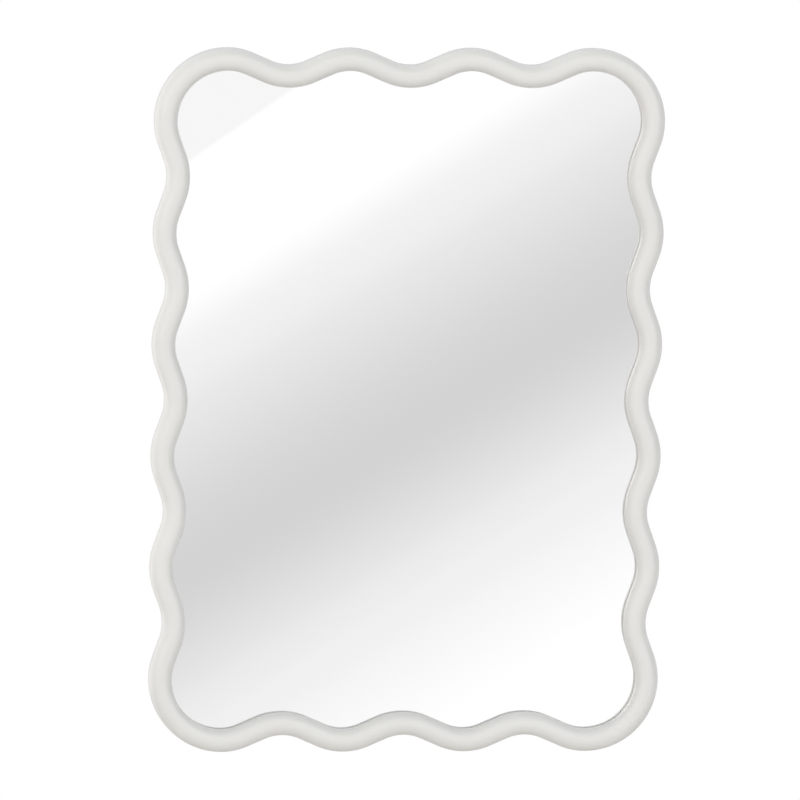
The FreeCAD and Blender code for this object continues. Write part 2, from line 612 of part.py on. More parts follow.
# Hangers: a strap curled round the straight side of a wire ring
def hanger_strap(label, x):
    """Pad the curled strap across its width and drill it for two screws."""
    body = doc.addObject("PartDesign::Body", label)
    profile = sketch_on(body, "YZ_Plane", label + "_profile")
    inner = number(EYE_INNER)
    outer = number(EYE_OUTER)
    length = number("strap_length")
    normal = Vector(0, 0, 1)
    curl = (math.radians(CURL_END_ANGLE) - 2 * math.pi, math.pi)
    out = profile.addGeometry(Part.ArcOfCircle(Part.Circle(Vector(), normal, outer), *curl))
    bore = profile.addGeometry(Part.ArcOfCircle(Part.Circle(Vector(), normal, inner), *curl))
    lip_ends = [profile.getPoint(arc, START_INDEX) for arc in (out, bore)]
    lip = profile.addGeometry(Part.LineSegment(*lip_ends))
    back = profile.addGeometry(Part.LineSegment(Vector(-outer, 0, 0), Vector(-outer, -length, 0)))
    end = profile.addGeometry(Part.LineSegment(Vector(-outer, -length, 0), Vector(-inner, -length, 0)))
    face = profile.addGeometry(Part.LineSegment(Vector(-inner, -length, 0), Vector(-inner, 0, 0)))
    for arc, radius in ((out, EYE_OUTER), (bore, EYE_INNER)):
        join(profile, "Coincident", arc, CENTRE_INDEX, *ORIGIN)
        measure(profile, "Radius", arc, radius)
        hold(profile, "X", arc, START_INDEX, f"({radius} * cos({CURL_END_ANGLE} deg))")
    join(profile, "Coincident", out, START_INDEX, lip, START_INDEX)
    join(profile, "Coincident", lip, END_INDEX, bore, START_INDEX)
    join(profile, "Tangent", out, END_INDEX, back, START_INDEX)
    join(profile, "Coincident", back, END_INDEX, end, START_INDEX)
    join(profile, "Coincident", end, END_INDEX, face, START_INDEX)
    join(profile, "Tangent", face, END_INDEX, bore, END_INDEX)
    for line in (back, face):
        align(profile, "Vertical", line)
    align(profile, "Horizontal", end)
    hold(profile, "Y", end, START_INDEX, minus("strap_length"))
    pad = body.newObject("PartDesign::Pad", label + "_pad")
    pad.Profile = profile
    pad.SideType = "Symmetric"
    bind(pad, Length="strap_width")
    doc.recompute()
    places = sketch_on(body, "XZ_Plane", label + "_hole_places")
    for drop in ("upper_hole_drop", "lower_hole_drop"):
        circle(places, "0", minus(drop), "(screw_shank_diameter / 2 + pilot_clearance)")
    before = body.Shape.Volume
    holes = body.newObject("PartDesign::Pocket", label + "_holes")
    holes.Profile = places
    holes.Reversed = True
    bind(holes, Length=f"{EYE_OUTER} + overrun")
    doc.recompute()
    if body.Shape.Volume >= before:
        raise RuntimeError("%s: the screw holes cut nothing" % label)
    bind_place(body, x, HANGER_Y, HANGER_Z)
    return body


def hanger_ring(label, x):
    """Sweep half of the ring's wire and mirror it. Its straight side lies in the strap's eye."""
    body = doc.addObject("PartDesign::Body", label)
    spine = sketch_on(body, "XZ_Plane", label + "_spine")
    bend = number("ring_bend_radius")
    bow = number("ring_inner_width / 2 + ring_wire_diameter / 2")
    leg_top = bend + number("ring_leg_length")
    diagonal = math.sqrt(0.5)
    straight = Part.LineSegment(Vector(), Vector(bow - bend, 0, 0))
    corner = Part.Arc(Vector(bow - bend, 0, 0),
                      Vector(bow - bend + bend * diagonal, bend - bend * diagonal, 0),
                      Vector(bow, bend, 0))
    leg = Part.LineSegment(Vector(bow, bend, 0), Vector(bow, leg_top, 0))
    arch = Part.Arc(Vector(bow, leg_top, 0), Vector(bow * diagonal, leg_top + bow * diagonal, 0),
                    Vector(0, leg_top + bow, 0))
    straight, straight_a, straight_b = draw(spine, straight, Vector())
    corner, corner_a, corner_b = draw(spine, corner, Vector(bow - bend, 0, 0))
    leg, leg_a, leg_b = draw(spine, leg, Vector(bow, bend, 0))
    arch, arch_a, arch_b = draw(spine, arch, Vector(bow, leg_top, 0))
    join(spine, "Coincident", straight, straight_a, *ORIGIN)
    align(spine, "Horizontal", straight)
    join(spine, "Tangent", straight, straight_b, corner, corner_a)
    join(spine, "Tangent", corner, corner_b, leg, leg_a)
    align(spine, "Vertical", leg)
    join(spine, "Tangent", leg, leg_b, arch, arch_a)
    for end in (CENTRE_INDEX, arch_b):
        put_on(spine, arch, end, AXIS_Y_INDEX)
    measure(spine, "Radius", corner, "ring_bend_radius")
    measure(spine, "Radius", arch, "(ring_inner_width / 2 + ring_wire_diameter / 2)")
    hold(spine, "Y", leg, leg_b, "(ring_bend_radius + ring_leg_length)")
    section = sketch_on(body, "YZ_Plane", label + "_section")
    circle(section, "0", "0", "(ring_wire_diameter / 2)")
    doc.recompute()
    sweep = body.newObject("PartDesign::AdditivePipe", label + "_sweep")
    sweep.Profile = section
    sweep.Spine = (spine, ["Edge%d" % count for count in range(1, len(spine.Shape.Edges) + 1)])
    doc.recompute()
    roles = {feature.Role: feature for feature in body.Origin.OriginFeatures}
    mirror = body.newObject("PartDesign::Mirrored", label + "_other_half")
    mirror.Originals = [sweep]
    mirror.MirrorPlane = (roles["YZ_Plane"], [""])
    body.Tip = mirror
    bind_place(body, x, HANGER_Y, HANGER_Z, Rotation(Vector(1, 0, 0), RING_LEAN))
    return body


hanger_screws = []
for side, x in (("right", HANGER_X), ("left", minus(HANGER_X))):
    nodes.append(hanger_strap("hanger_strap_" + side, x))
    nodes.append(hanger_ring("hanger_ring_" + side, x))
    for level, z in zip(("upper", "lower"), hanger_places):
        name = "hanger_screw_%s_%s" % (side, level)
        hanger_screws.append(wood_screw(name, x, f"({FRAME_BACK} + strap_thickness)", z))
nodes.append(group("hanger_screws", hanger_screws))


# Wall bumpers, stuck to the stiles just inside the corner lobes
def wall_bumper(label, right, upper):
    bumper = doc.addObject("Part::Cone", label)
    bind(bumper, Radius1="bumper_base_diameter / 2", Radius2="bumper_face_diameter / 2",
         Height="bumper_height")
    reach = f"(corner_radius + {BAND_MIDDLE})"
    x = f"({CORNER_X} + {reach} * cos({BUMPER_ANGLE} deg))"
    z = f"({CORNER_Z} + {reach} * sin({BUMPER_ANGLE} deg))"
    bind_place(bumper, x if right else minus(x), FRAME_BACK, z if upper else minus(z),
               Rotation(Vector(1, 0, 0), -QUARTER_TURN))
    return bumper


for upper, height in ((True, "upper"), (False, "lower")):
    for right, side in ((True, "right"), (False, "left")):
        nodes.append(wall_bumper("wall_bumper_%s_%s" % (height, side), right, upper))

# Check everything, then write one file for each node
doc.recompute()
failed = [thing.Name for thing in doc.Objects if {"Invalid", "Error"} & set(thing.State)]
if failed:
    raise RuntimeError("failed objects: " + ", ".join(failed))
for node in nodes:
    if node.Shape.isNull() or not node.Shape.isValid() or not node.Shape.Solids:
        raise RuntimeError("bad shape: " + node.Label)
loose = [thing.Name for thing in doc.Objects
         if thing.isDerivedFrom("Sketcher::SketchObject") and not thing.FullyConstrained]
print("sketches with freedom left:", loose)

os.makedirs("parts", exist_ok=True)
for node in nodes:
    node.Shape.exportStep("parts/%s.step" % node.Label)
    box = node.Shape.BoundBox
    print("%-26s %2d solids %12.1f mm3  %7.2f x %6.2f x %7.2f mm" % (
        node.Label, len(node.Shape.Solids), node.Shape.Volume, box.XLength, box.YLength, box.ZLength))
print(len(nodes), "nodes")
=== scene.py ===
# %% [markdown]
# # A wavy wall mirror
#
# The mirror is a lacquered wooden frame whose four sides run in waves, a silvered pane cut to the same
# waves, and a back with a board, turn buttons, hangers and rubber bumpers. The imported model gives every
# piece its place and its size. This lesson dresses it: the frame and the screws are grown with Geometry
# Nodes, the sheet-metal pieces get eased edges, and every piece gets a finish made of shader nodes.
#
# All lengths are in metres. +X is to the viewer's right, +Z is up and the pane faces -Y.

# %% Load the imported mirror
import json
import math

import bmesh
import bpy
from mathutils import Matrix, Vector


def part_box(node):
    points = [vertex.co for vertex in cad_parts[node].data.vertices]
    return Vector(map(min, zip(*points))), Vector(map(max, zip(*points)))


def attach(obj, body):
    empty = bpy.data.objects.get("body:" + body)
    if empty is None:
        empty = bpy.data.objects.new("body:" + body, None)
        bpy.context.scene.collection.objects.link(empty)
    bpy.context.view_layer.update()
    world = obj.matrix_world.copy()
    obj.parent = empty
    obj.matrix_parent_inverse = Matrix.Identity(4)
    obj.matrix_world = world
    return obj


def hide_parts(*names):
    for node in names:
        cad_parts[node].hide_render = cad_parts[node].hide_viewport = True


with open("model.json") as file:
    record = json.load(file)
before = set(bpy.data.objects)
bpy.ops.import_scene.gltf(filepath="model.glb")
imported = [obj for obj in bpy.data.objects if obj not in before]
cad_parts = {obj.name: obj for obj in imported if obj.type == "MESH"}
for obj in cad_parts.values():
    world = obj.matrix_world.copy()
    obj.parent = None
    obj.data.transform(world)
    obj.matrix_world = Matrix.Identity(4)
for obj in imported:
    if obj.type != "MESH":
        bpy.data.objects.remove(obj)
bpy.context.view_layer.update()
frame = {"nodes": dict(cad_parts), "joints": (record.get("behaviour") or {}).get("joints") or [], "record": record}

body_of_node = {node: body for body, members in frame["record"]["behaviour"]["bodies"].items()
                for node in members}
slot_of_node = {entry["node"]: entry["material_slot"] for entry in frame["record"]["subparts"]}

# %% [markdown]
# ## Sums that become nodes
#
# A node tree can be wired by hand, one Math node at a time, but a formula is hard to read that way. The
# class below wraps a socket so that a sum written in Python adds the Math nodes for it. The same helper
# serves the Geometry Nodes trees and the shaders.


# %% A field that can be added and multiplied
def plug(tree, value, socket):
    """Link a field or a socket to a socket, or set the socket to a plain value."""
    if isinstance(value, Field):
        value = value.socket
    if isinstance(value, bpy.types.NodeSocket):
        tree.links.new(value, socket)
    else:
        socket.default_value = value


class Field:
    """A number in a node tree. Sums written with it become Math nodes."""

    def __init__(self, tree, socket):
        self.tree = tree
        self.socket = socket

    def math(self, operation, *others):
        node = self.tree.nodes.new("ShaderNodeMath")
        node.operation = operation
        for socket, value in zip(node.inputs, (self, *others)):
            plug(self.tree, value, socket)
        return Field(self.tree, node.outputs[0])

    def __add__(self, other):
        return self.math("ADD", other)

    def __sub__(self, other):
        return self.math("SUBTRACT", other)

    def __rsub__(self, other):
        return self.math("MULTIPLY_ADD", -1.0, other)

    def __mul__(self, other):
        return self.math("MULTIPLY", other)

    def __truediv__(self, other):
        return self.math("DIVIDE", other)

    def __abs__(self):
        return self.math("ABSOLUTE")

    def clamped(self, low, high):
        return self.math("MAXIMUM", low).math("MINIMUM", high)

    __radd__ = __add__
    __rmul__ = __mul__


print("helpers:", plug.__name__, Field.__name__)

# %% [markdown]
# ### Nodes by their kind
#
# Not every node is a sum. `add` puts in a node of any kind and fills its inputs in one call, and `split`
# takes a vector apart into three fields.


# %% Nodes by their kind
def add(tree, kind, inputs=None, **options):
    """Add a node, set its options, and plug values into its inputs by name or by number."""
    node = tree.nodes.new(kind)
    for name, value in options.items():
        setattr(node, name, value)
    for name, value in (inputs or {}).items():
        plug(tree, value, node.inputs[name])
    return node


def split(tree, vector):
    """The three parts of a vector, as fields."""
    node = add(tree, "ShaderNodeSeparateXYZ", {"Vector": vector})
    return [Field(tree, socket) for socket in node.outputs]


print("helpers:", add.__name__, split.__name__)

# %% [markdown]
# ## Finishes
#
# Each finish is one Principled shader. Its patterns read Object coordinates, which are metres in the
# shared frame, so a noise of scale 600 has grains of about a millimetre and a half. What is the same all
# over a surface is set on the shader itself, and what varies comes through nodes.

# %% Helpers for shaders
most_of_noise = (0.3, 0.7)


def new_finish(name, **settings):
    """A material with a Principled shader, and with it its tree, its shader and the place on the piece."""
    material = bpy.data.materials.new(name + "_finish")
    material.use_nodes = True
    tree = material.node_tree
    shader = tree.nodes["Principled BSDF"]
    for socket, value in settings.items():
        shader.inputs[socket.replace("_", " ")].default_value = value
    place = add(tree, "ShaderNodeTexCoord").outputs["Object"]
    return material, tree, shader, place


def noise(tree, place, scale, detail=2.0, roughness=0.5, stretch=(1.0, 1.0, 1.0)):
    """A cloudy field between about 0 and 1, drawn out along the axes whose stretch is below 1."""
    mapped = add(tree, "ShaderNodeMapping", {"Vector": place, "Scale": stretch}).outputs["Vector"]
    node = add(tree, "ShaderNodeTexNoise", {"Vector": mapped, "Scale": scale, "Detail": detail,
                                            "Roughness": roughness})
    return Field(tree, node.outputs["Fac"])


def spread(field, low, high, out_low, out_high):
    """Take a field from the range low to high to the range out_low to out_high, and no further."""
    node = add(field.tree, "ShaderNodeMapRange", {"Value": field, "From Min": low, "From Max": high,
                                                  "To Min": out_low, "To Max": out_high})
    return Field(field.tree, node.outputs["Result"])


def mix_colour(tree, share, first, second):
    """A colour between two colours."""
    node = add(tree, "ShaderNodeMix", data_type="RGBA")
    factor, one, two = (s for s in node.inputs if s.enabled)
    plug(tree, share, factor)
    for socket, colour in ((one, first), (two, second)):
        plug(tree, (*colour, 1.0) if isinstance(colour, tuple) else colour, socket)
    return next(s for s in node.outputs if s.enabled)


def bump(tree, shader, height, depth, strength=1.0):
    """Raise a surface by a height field, with its full range worth the depth."""
    node = add(tree, "ShaderNodeBump", {"Height": height, "Distance": depth, "Strength": strength})
    plug(tree, node.outputs["Normal"], shader.inputs["Normal"])


print("helpers:", new_finish.__name__, noise.__name__, spread.__name__, mix_colour.__name__, bump.__name__)

# %% [markdown]
# ### White lacquer
#
# The frame is sprayed with an off-white satin lacquer. Sprayed coats are never quite even: the tone drifts
# over a hand's width, the sheen drifts over a finger's width, and the skin has a very fine orange peel. At
# the back a dark hairline of painted shade stands for the shadow in the seam where two members meet in a
# mitre. The hairline is a distance from the mitre plane, so it follows the corner lobes by itself.

# %% Places that the lacquer needs
overall_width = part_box("frame_right_stile")[1].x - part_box("frame_left_stile")[0].x
overall_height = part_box("frame_top_rail")[1].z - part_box("frame_bottom_rail")[0].z
frame_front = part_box("frame_top_rail")[0].y
frame_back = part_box("frame_top_rail")[1].y
moulding_width = 0.027
corner_radius = 0.0735
corner_x = (overall_width - moulding_width) / 2 - corner_radius
corner_z = (overall_height - moulding_width) / 2 - corner_radius
print("corner lobes at", round(corner_x, 4), round(corner_z, 4))

# %% White lacquer
deep_white = (0.80, 0.80, 0.785)
bright_white = (0.825, 0.825, 0.81)
# Colour and share of the dark hairline of painted shade in the mitre seams at the back.
mitre_seam_shade = (0.35, 0.31, 0.26)
mitre_share = 0.55
hairline_width = 0.0002
satin_roughness = (0.30, 0.37)
back_skin = 0.0006
back_dullness = 0.2
peel_depth = 0.00002


def white_lacquer():
    material, tree, shader, place = new_finish("white_lacquer", Coat_Weight=0.5, Coat_Roughness=0.07)
    drift = spread(noise(tree, place, scale=7.0, detail=3.0), *most_of_noise, 0.0, 1.0)
    sprayed = mix_colour(tree, drift, deep_white, bright_white)
    x, y, z = split(tree, place)
    past_x = abs(x) - corner_x
    past_z = abs(z) - corner_z
    off_mitre = abs(past_x - past_z) * math.sqrt(0.5)
    in_lobe = past_x.math("GREATER_THAN", 0.0) * past_z.math("GREATER_THAN", 0.0)
    at_back = y.math("GREATER_THAN", frame_back - back_skin)
    # Painted shade: a dark hairline along each mitre at the back, standing for the shadow in the seam.
    shaded_seam = off_mitre.math("LESS_THAN", hairline_width) * in_lobe * at_back
    colour = mix_colour(tree, shaded_seam * mitre_share, sprayed, mitre_seam_shade)
    plug(tree, colour, shader.inputs["Base Color"])
    sheen = spread(noise(tree, place, scale=45.0), 0.25, 0.75, *satin_roughness)
    plug(tree, sheen + at_back * back_dullness, shader.inputs["Roughness"])
    peel = noise(tree, place, scale=620.0, detail=1.0)
    bump(tree, shader, peel, depth=peel_depth)
    return material


lacquer = white_lacquer()
print("finish:", lacquer.name, "nodes:", len(lacquer.node_tree.nodes))

# %% [markdown]
# ### Silvered glass
#
# A mirror is clear glass with silver behind it, and the silver is sealed with grey paint. Seen from the
# front only the silver's reflection counts, so the front is a polished metal, nearly neutral. The cut edge
# is green glass and the back is the paint. The three are told apart by their depth in the pane. A faint
# smear of haze keeps the polish from being perfect.

# %% Silvered glass
pane_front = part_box("mirror_glass")[0].y
pane_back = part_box("mirror_glass")[1].y
pane_skin = 0.0002
silver_tone = (0.96, 0.96, 0.96)
cut_edge = (0.30, 0.52, 0.44)
back_paint = (0.33, 0.35, 0.37)
most_haze = 0.012
ground_roughness = 0.4


def silvered_glass():
    material, tree, shader, place = new_finish("silvered_glass", IOR=1.52)
    y = split(tree, place)[1]
    silver = y.math("LESS_THAN", pane_front + pane_skin)
    painted = y.math("GREATER_THAN", pane_back - pane_skin)
    body = mix_colour(tree, painted, cut_edge, back_paint)
    plug(tree, mix_colour(tree, silver, body, silver_tone), shader.inputs["Base Color"])
    plug(tree, silver, shader.inputs["Metallic"])
    haze = spread(noise(tree, place, scale=14.0, detail=4.0), 0.45, 0.8, 0.0, most_haze)
    plug(tree, haze + (1.0 - silver) * ground_roughness, shader.inputs["Roughness"])
    return material


glass = silvered_glass()
print("pane from", round(pane_front, 4), "to", round(pane_back, 4))

# %% [markdown]
# ### Board
#
# The backing board is hard fibreboard: brown, pressed smooth, with short pale and dark fibres that lie at
# all angles. A noise drawn out in one direction gives fibres that lie one way, so four of them, each turned
# by its own angle, give the felt. A few dark flecks of bark lie between them.


# %% Board
def turned_place(tree, place, degrees):
    """The place, turned about the axis that points at the wall."""
    node = add(tree, "ShaderNodeMapping", {"Vector": place, "Rotation": (0.0, math.radians(degrees), 0.0)})
    return node.outputs["Vector"]


fibre_angles = (12, 55, 101, 147)
dark_fibre = (0.215, 0.135, 0.075)
pale_fibre = (0.335, 0.225, 0.135)
bark_fleck = (0.12, 0.07, 0.04)
patch_share = 0.25
fleck_share = 0.45
fleck_from = 0.69
board_roughness = (0.46, 0.6)


def brown_fibreboard():
    material, tree, shader, place = new_finish("brown_fibreboard")
    fibres = 0.0
    for degrees in fibre_angles:
        lying = turned_place(tree, place, degrees)
        one_way = noise(tree, lying, scale=1100.0, stretch=(0.3, 1.0, 1.0))
        fibres = fibres + one_way * (1.0 / len(fibre_angles))
    patches = noise(tree, place, scale=22.0, detail=4.0)
    flecks = noise(tree, place, scale=260.0, detail=3.0).math("GREATER_THAN", fleck_from)
    tone = spread(fibres * (1.0 - patch_share) + patches * patch_share, 0.4, 0.6, 0.0, 1.0)
    felt = mix_colour(tree, tone, dark_fibre, pale_fibre)
    flecked = mix_colour(tree, flecks * fleck_share, felt, bark_fleck)
    plug(tree, flecked, shader.inputs["Base Color"])
    plug(tree, spread(patches, *most_of_noise, *board_roughness), shader.inputs["Roughness"])
    bump(tree, shader, fibres, depth=0.00004)
    return material


board_finish = brown_fibreboard()
print("finish:", board_finish.name, "nodes:", len(board_finish.node_tree.nodes))

# %% [markdown]
# ### Foam and dowels
#
# The foam behind the pane is a thin white sheet, and a cell pattern gives it its small bubbles, each with
# painted shade darker in its hollow. The dowels are plain beech. They lie across the mitres, so their
# straight grain is turned by half a right angle.

# %% Foam and dowels
bubble_shade = (0.72, 0.72, 0.71)
bubble_white = (0.9, 0.9, 0.89)
dark_beech = (0.42, 0.27, 0.15)
pale_beech = (0.62, 0.44, 0.28)
beech_roughness = (0.5, 0.65)
mitre_degrees = 45


def white_foam():
    material, tree, shader, place = new_finish("white_foam", Roughness=0.8)
    cells = add(tree, "ShaderNodeTexVoronoi", {"Vector": place, "Scale": 900.0})
    depth = Field(tree, cells.outputs["Distance"])
    # Painted shade: each bubble is darker in its hollow, where the bump sinks.
    bubbles_with_painted_shade = mix_colour(tree, depth, bubble_shade, bubble_white)
    plug(tree, bubbles_with_painted_shade, shader.inputs["Base Color"])
    bump(tree, shader, depth, depth=0.0003)
    return material


def beech():
    material, tree, shader, place = new_finish("beech_dowel")
    along = turned_place(tree, place, mitre_degrees)
    grain = noise(tree, along, scale=700.0, detail=3.0, stretch=(1.0, 1.0, 0.08))
    grained = mix_colour(tree, grain, dark_beech, pale_beech)
    plug(tree, grained, shader.inputs["Base Color"])
    plug(tree, spread(grain, *most_of_noise, *beech_roughness), shader.inputs["Roughness"])
    return material


foam_finish = white_foam()
dowel_finish = beech()
print("finishes:", foam_finish.name, dowel_finish.name)

# %% [markdown]
# ### Zinc and rubber
#
# The hardware is steel with bright zinc plating. Zinc shows as a metal with a soft, patchy sheen: small
# crystals that are a little lighter or darker, and rubbed streaks. The bumpers are grey rubber, matt, with
# a fine grain.

# %% Zinc and rubber
dark_zinc = (0.47, 0.48, 0.495)
bright_zinc = (0.60, 0.605, 0.61)
crystal_share = 0.3
zinc_roughness = (0.24, 0.42)
dark_rubber = (0.30, 0.30, 0.29)
pale_rubber = (0.40, 0.40, 0.39)
rubber_roughness = (0.7, 0.85)


def zinc_plate():
    material, tree, shader, place = new_finish("zinc_plated_steel", Metallic=1.0)
    crystals = add(tree, "ShaderNodeTexVoronoi", {"Vector": place, "Scale": 700.0})
    tint = Field(tree, add(tree, "ShaderNodeRGBToBW", {"Color": crystals.outputs["Color"]}).outputs["Val"])
    plated = mix_colour(tree, tint, dark_zinc, bright_zinc)
    plug(tree, plated, shader.inputs["Base Color"])
    rubbed = noise(tree, place, scale=1500.0, detail=3.0, stretch=(0.15, 1.0, 1.0))
    worn = spread(rubbed + tint * crystal_share, 0.3, 1.0, *zinc_roughness)
    plug(tree, worn, shader.inputs["Roughness"])
    bump(tree, shader, rubbed, depth=0.000008)
    return material


def bumper_rubber():
    material, tree, shader, place = new_finish("bumper_rubber")
    grain = noise(tree, place, scale=2500.0)
    moulded = mix_colour(tree, grain, dark_rubber, pale_rubber)
    plug(tree, moulded, shader.inputs["Base Color"])
    plug(tree, spread(grain, *most_of_noise, *rubber_roughness), shader.inputs["Roughness"])
    bump(tree, shader, grain, depth=0.00003)
    return material


zinc = zinc_plate()
rubber = bumper_rubber()
finish_of_slot = {"white_lacquer": lacquer, "silvered_glass": glass, "white_foam": foam_finish,
                  "brown_fibreboard": board_finish, "beech_dowel": dowel_finish,
                  "zinc_plated_steel": zinc, "bumper_rubber": rubber}
print("finishes:", len(finish_of_slot))

# %% [markdown]
# ## Growing a piece with Geometry Nodes
#
# A tree is a recipe with named inputs for its sizes. The helpers below open an empty tree with those
# inputs, close it with a material, and add the few groups of nodes that more than one tree needs.


# %% Helpers for trees
def new_tree(name, sizes):
    """A Geometry Nodes tree with an input for each size and one for the material, and its fields."""
    tree = bpy.data.node_groups.new(name, "GeometryNodeTree")
    tree.interface.new_socket("Start", in_out="INPUT", socket_type="NodeSocketGeometry")
    for size, value in sizes.items():
        kind = "NodeSocketInt" if isinstance(value, int) else "NodeSocketFloat"
        tree.interface.new_socket(size, in_out="INPUT", socket_type=kind)
    tree.interface.new_socket("Material", in_out="INPUT", socket_type="NodeSocketMaterial")
    tree.interface.new_socket("Mesh", in_out="OUTPUT", socket_type="NodeSocketGeometry")
    entry = tree.nodes.new("NodeGroupInput")
    return tree, entry, {size: Field(tree, entry.outputs[size]) for size in sizes}


def close_tree(tree, entry, geometry):
    """End a tree in real geometry with its material."""
    real = add(tree, "GeometryNodeRealizeInstances", {"Geometry": geometry})
    dressed = add(tree, "GeometryNodeSetMaterial", {"Geometry": real.outputs["Geometry"],
                                                    "Material": entry.outputs["Material"]})
    add(tree, "NodeGroupOutput", {"Mesh": dressed.outputs["Geometry"]})


def smooth_up_to(tree, geometry, angle):
    """Shade smoothly, but keep edges sharp where the faces turn by more than the angle."""
    soft = add(tree, "GeometryNodeSetShadeSmooth", {"Geometry": geometry})
    turn = Field(tree, add(tree, "GeometryNodeInputMeshEdgeAngle").outputs["Unsigned Angle"])
    crisp = add(tree, "GeometryNodeSetShadeSmooth",
                {"Geometry": soft.outputs["Geometry"], "Selection": turn.math("GREATER_THAN", angle),
                 "Shade Smooth": False}, domain="EDGE")
    return crisp.outputs["Geometry"]


def table(tree, data_type, values):
    """A field that gives each point the value at its own number in a list."""
    switch = add(tree, "GeometryNodeIndexSwitch", data_type=data_type)
    while len(switch.index_switch_items) < len(values):
        switch.index_switch_items.new()
    plug(tree, add(tree, "GeometryNodeInputIndex").outputs["Index"], switch.inputs["Index"])
    for number, value in enumerate(values):
        plug(tree, value, switch.inputs[number + 1])
    return switch.outputs["Output"]


def vector(tree, x, y, z):
    """Three fields as one vector."""
    return add(tree, "ShaderNodeCombineXYZ", {"X": x, "Y": y, "Z": z}).outputs["Vector"]


print("helpers:", new_tree.__name__, close_tree.__name__, smooth_up_to.__name__, table.__name__,
      vector.__name__)

# %% [markdown]
# ### Running a tree
#
# `grow` runs a tree on a start mesh and keeps the result as a plain mesh with no modifier, which is what
# the shared frame wants. `stand_for` then lets the piece take the place of the imported ones.


# %% Grow a piece and put it in place
def grow(piece_name, tree, start, values):
    """Run a tree on a start mesh and return the result as a plain object."""
    seedling = bpy.data.objects.new(piece_name + "_start", start)
    bpy.context.scene.collection.objects.link(seedling)
    modifier = seedling.modifiers.new(tree.name, "NODES")
    modifier.node_group = tree
    for socket in tree.interface.items_tree:
        if socket.in_out == "INPUT" and socket.name in values:
            modifier[socket.identifier] = values[socket.name]
    graph = bpy.context.evaluated_depsgraph_get()
    mesh = bpy.data.meshes.new_from_object(seedling.evaluated_get(graph))
    bpy.data.objects.remove(seedling)
    mesh.name = piece_name
    piece = bpy.data.objects.new(piece_name, mesh)
    bpy.context.scene.collection.objects.link(piece)
    print(piece_name, "faces:", len(mesh.polygons))
    return piece


def stand_for(piece, *nodes):
    """Let a piece take the place of CAD nodes: it joins their body, and they are hidden."""
    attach(piece, body_of_node[nodes[0]])
    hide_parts(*nodes)


print("helpers:", grow.__name__, stand_for.__name__)

# %% [markdown]
# ## The wavy frame
#
# On the real frame four members are mitred together and lacquered as one, so no joint shows in front: one
# continuous skin is the honest shape. It could be drawn as a curve by hand, but the waves follow a rule. So
# the tree makes a wavy path and a small section of the moulding, and sweeps one along the other.
#
# The silver lies under clear glass, so on a real mirror the frame's lip and its reflection don't quite
# touch: a thin dark line runs between them. The pane here reflects at its front, so the rebate is cut a
# little deeper by what the glass would show, and the lip's edge is eased. That draws the same dark line.

# %% Sizes of the frame
glass_show = 0.0024
frame_sizes = {
    "Width": overall_width, "Height": overall_height, "Moulding Width": moulding_width,
    "Moulding Depth": frame_back - frame_front, "Wall Gap": -frame_back, "Corner Radius": corner_radius,
    "Rail Rise": 0.020, "Stile Rise": 0.0155, "Bend Share": 0.9,
    "Rail Half Waves": 3, "Stile Half Waves": 5,
    "Rebate Width": 0.008, "Rebate Depth": frame_back - pane_front + glass_show,
    "Back Edge Radius": 0.004, "Lip Ease": 0.002,
    "Path Points": 1400, "Lobe Points": 60, "Nose Points": 15, "Edge Points": 5,
}
print("moulding depth:", round(frame_sizes["Moulding Depth"], 4))
print("rebate depth:", round(frame_sizes["Rebate Depth"], 4))

# %% [markdown]
# ### The wave
#
# A sine would be quick, but a maker draws such an edge with a compass: an arc at each crest and each
# valley, and a straight where the two have the same slope. The bend share says how much of the largest
# radius that fits is used. At 1 the straight is gone.


# %% Wave
def wave_depth(along, step, rise, bend_share):
    """How far a member lies inside its crests, at a distance along it from its middle."""
    bend = bend_share * (step * step + rise * rise) / (rise * 4.0)
    straight = (step * step + rise * rise - bend * rise * 4.0).math("SQRT")
    slope = (rise - bend * 2.0).math("ARCTAN2", step) + (bend * 2.0).math("ARCTAN2", straight)
    reach = bend * slope.math("SINE")
    from_valley = along.math("PINGPONG", step)

    def fall(distance):
        inside = distance.math("MINIMUM", reach)
        return bend - (bend * bend - inside * inside).math("SQRT")

    line = slope.math("TANGENT") * (from_valley - reach).clamped(0.0, step - reach * 2.0)
    bend_height = bend - bend * slope.math("COSINE")
    height = fall(from_valley) + line + bend_height - fall(step - from_valley)
    return rise - height


print("half waves from middle to lobe:", frame_sizes["Rail Half Waves"], frame_sizes["Stile Half Waves"])

# %% [markdown]
# ### The path
#
# The path starts as a rectangle through the crests. Its corners are rounded into lobes, and it is divided
# evenly. Between the lobes each point is then pushed in by the wave. The path's normals are kept level, so
# that the section can't twist on its way round.


